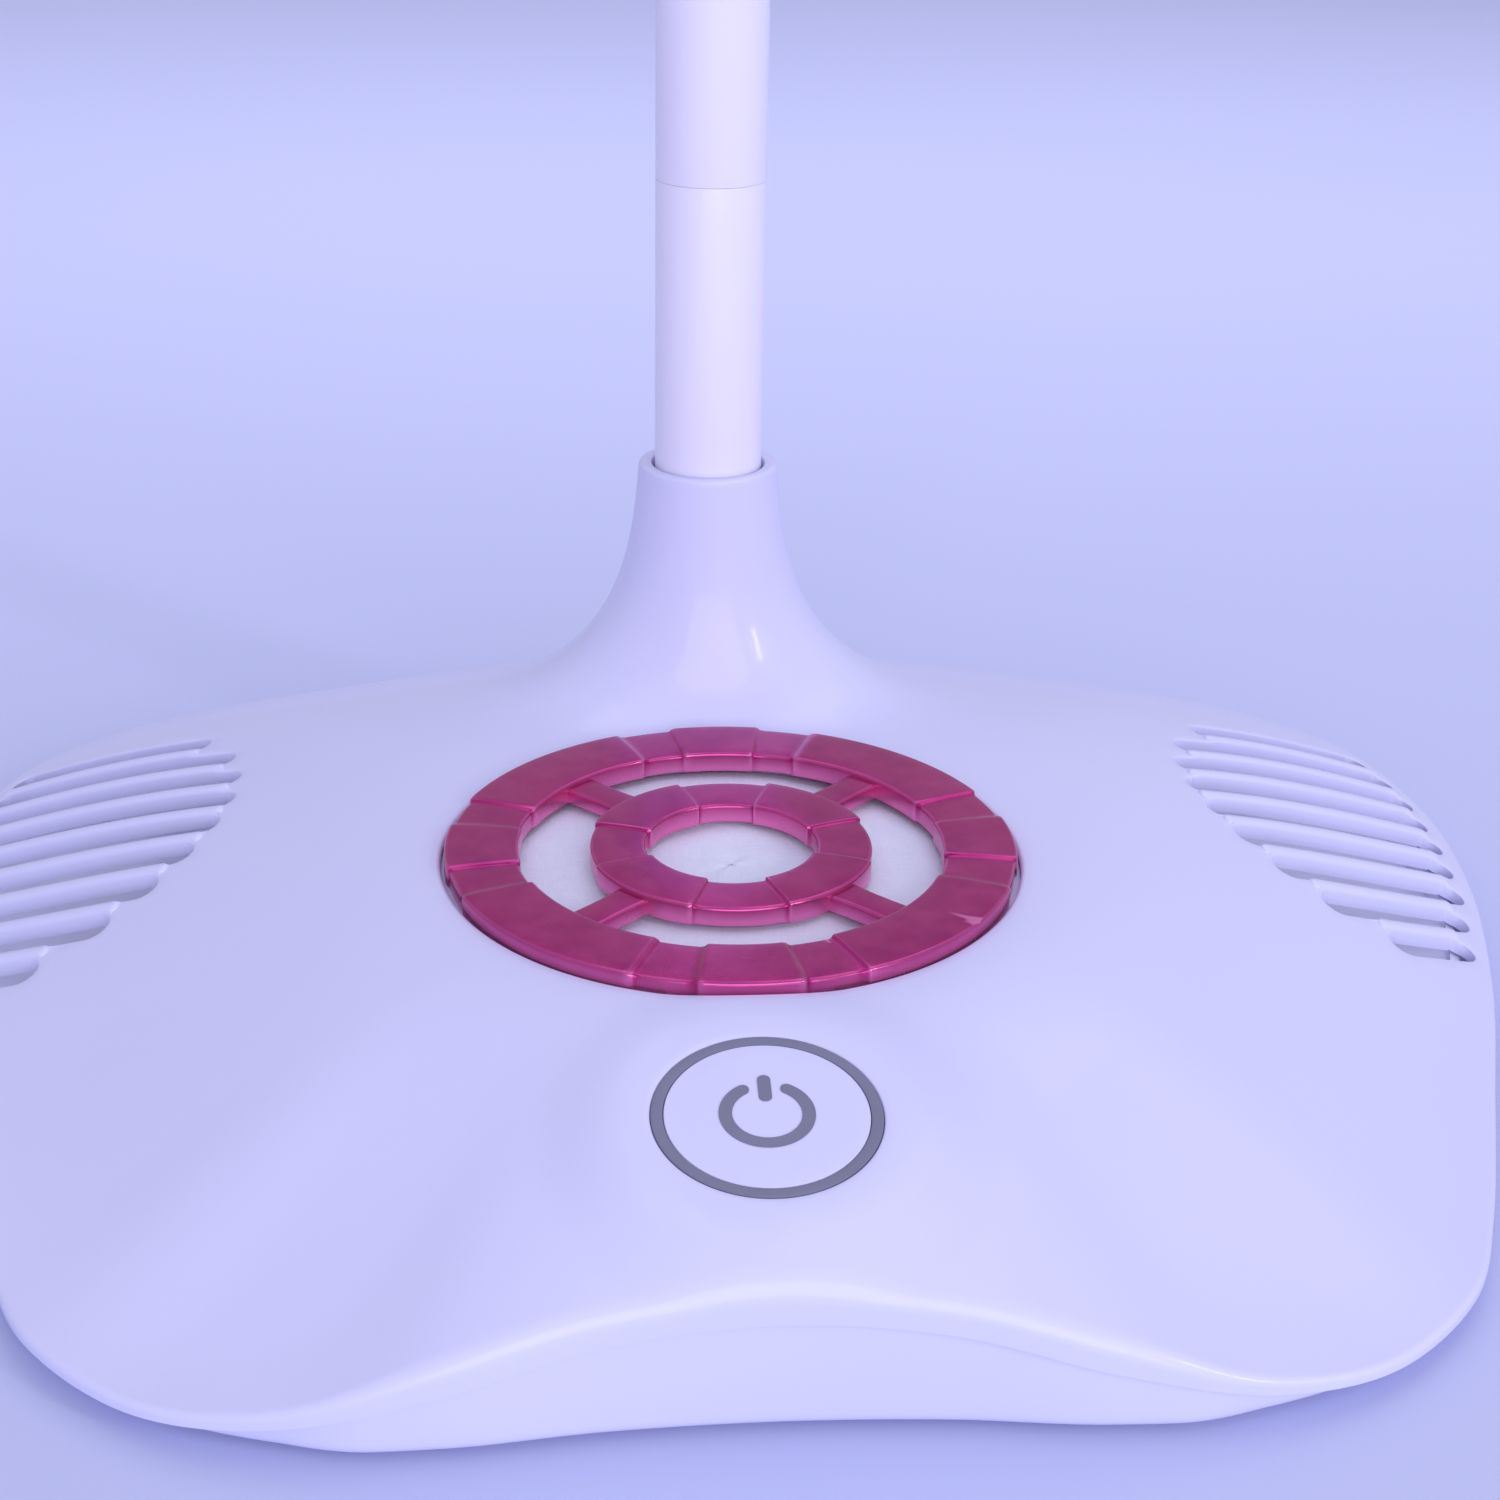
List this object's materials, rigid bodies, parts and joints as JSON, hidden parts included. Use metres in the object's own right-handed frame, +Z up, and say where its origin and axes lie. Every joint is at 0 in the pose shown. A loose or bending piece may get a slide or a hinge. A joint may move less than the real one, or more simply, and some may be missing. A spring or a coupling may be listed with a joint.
{
  "type": "nail dust collector",
  "caption": "Low white desk-top dust collector with a round magenta intake grille, a power button, side exhaust louvres and a lamp on a stem.",
  "frame": {"origin": "on the axis of the grille, on the table under the feet, at the centre of the base", "axes": "+Z up, the user sits at -Y, +X to the user's right"},
  "size_m": [0.3022, 0.2226, 0.348],
  "materials": {
    "shell_white": "moulded white plastic, glossy, read with the cool lavender cast of the picture",
    "grille_magenta": "magenta pearl plastic, glossy, with brighter edges",
    "mark_grey": "grey-blue, satin",
    "inner_white": "moulded white plastic, satin",
    "pad_white": "bonded non-woven fibre, matt",
    "diffuser_milk": "milky lamp diffuser, satin",
    "black_plastic": "black plastic, satin",
    "lead_black": "cable sheath, satin",
    "steel": "plain steel",
    "brass": "machined brass",
    "copper": "enamelled copper wire",
    "rubber": "dark grey rubber, matt",
    "board_green": "printed circuit board, satin"
  },
  "bodies": {
    "base": {"top_shell": "shell_white", "bottom_shell": "shell_white", "power_ring": "mark_grey", "blower_housing": "inner_white", "blower_cover": "inner_white", "exhaust_duct_left": "inner_white", "exhaust_duct_right": "inner_white", "board_connector": "inner_white", "switch_body": "black_plastic", "controller_chip": "black_plastic", "dc_inlet": "black_plastic", "motor_lead": "lead_black", "ballast_plate": "steel", "bearing_lower": "steel", "bearing_upper": "steel", "bearing_tube": "brass", "stator_core": "steel", "button_spring": "steel", "board_screw_left": "steel", "board_screw_right": "steel", "control_board": "board_green", "friction_washer": "rubber", "case_screw_1": "steel", "case_screw_2": "steel", "case_screw_3": "steel", "case_screw_4": "steel", "stator_coil_1": "copper", "stator_coil_2": "copper", "stator_coil_3": "copper", "stator_coil_4": "copper", "foot_1": "rubber", "foot_2": "rubber", "foot_3": "rubber", "foot_4": "rubber"},
    "filter_cartridge": {"grille": "grille_magenta", "filter_frame": "inner_white", "filter_pad": "pad_white"},
    "button": {"power_button": "shell_white", "power_symbol_arc": "mark_grey", "power_symbol_bar": "mark_grey", "switch_plunger": "black_plastic"},
    "rotor": {"impeller": "black_plastic", "rotor_cup": "steel", "magnet_ring": "black_plastic", "motor_shaft": "steel", "shaft_clip": "steel"},
    "stem": {"stem_lower": "shell_white", "stem_upper": "shell_white", "stem_joiner": "steel", "stem_end_plug": "steel", "threaded_nipple": "brass", "stem_nut": "steel", "hinge_block": "shell_white", "lamp_lead": "lead_black"},
    "lamp_head": {"lamp_cover": "shell_white", "lamp_bezel": "shell_white", "lamp_diffuser": "diffuser_milk", "led_board": "board_green", "hinge_pin": "steel"}
  },
  "joints": [
    {"name": "cartridge_lift", "type": "slide", "parent": "base", "child": "filter_cartridge", "axis": [0, 0, 1], "range_m": [0, 0.06]},
    {"name": "button_press", "type": "slide", "parent": "base", "child": "button", "axis": [0, 0.1668, -0.986], "range_m": [0, 0.0012], "stiffness_N_per_m": 1500, "springref_m": -0.0004, "deforming": ["button_spring"]},
    {"name": "impeller_spin", "type": "hinge", "parent": "base", "child": "rotor", "pos_m": [0, 0, 0.012], "axis": [0, 0, 1], "continuous": true},
    {"name": "stem_swivel", "type": "hinge", "parent": "base", "child": "stem", "pos_m": [0, 0.079, 0.015], "axis": [0, 0, 1], "range_deg": [-90, 90]},
    {"name": "lamp_tilt", "type": "hinge", "parent": "stem", "child": "lamp_head", "pos_m": [0, 0.079, 0.34], "axis": [1, 0, 0], "range_deg": [-30, 45]}
  ]
}
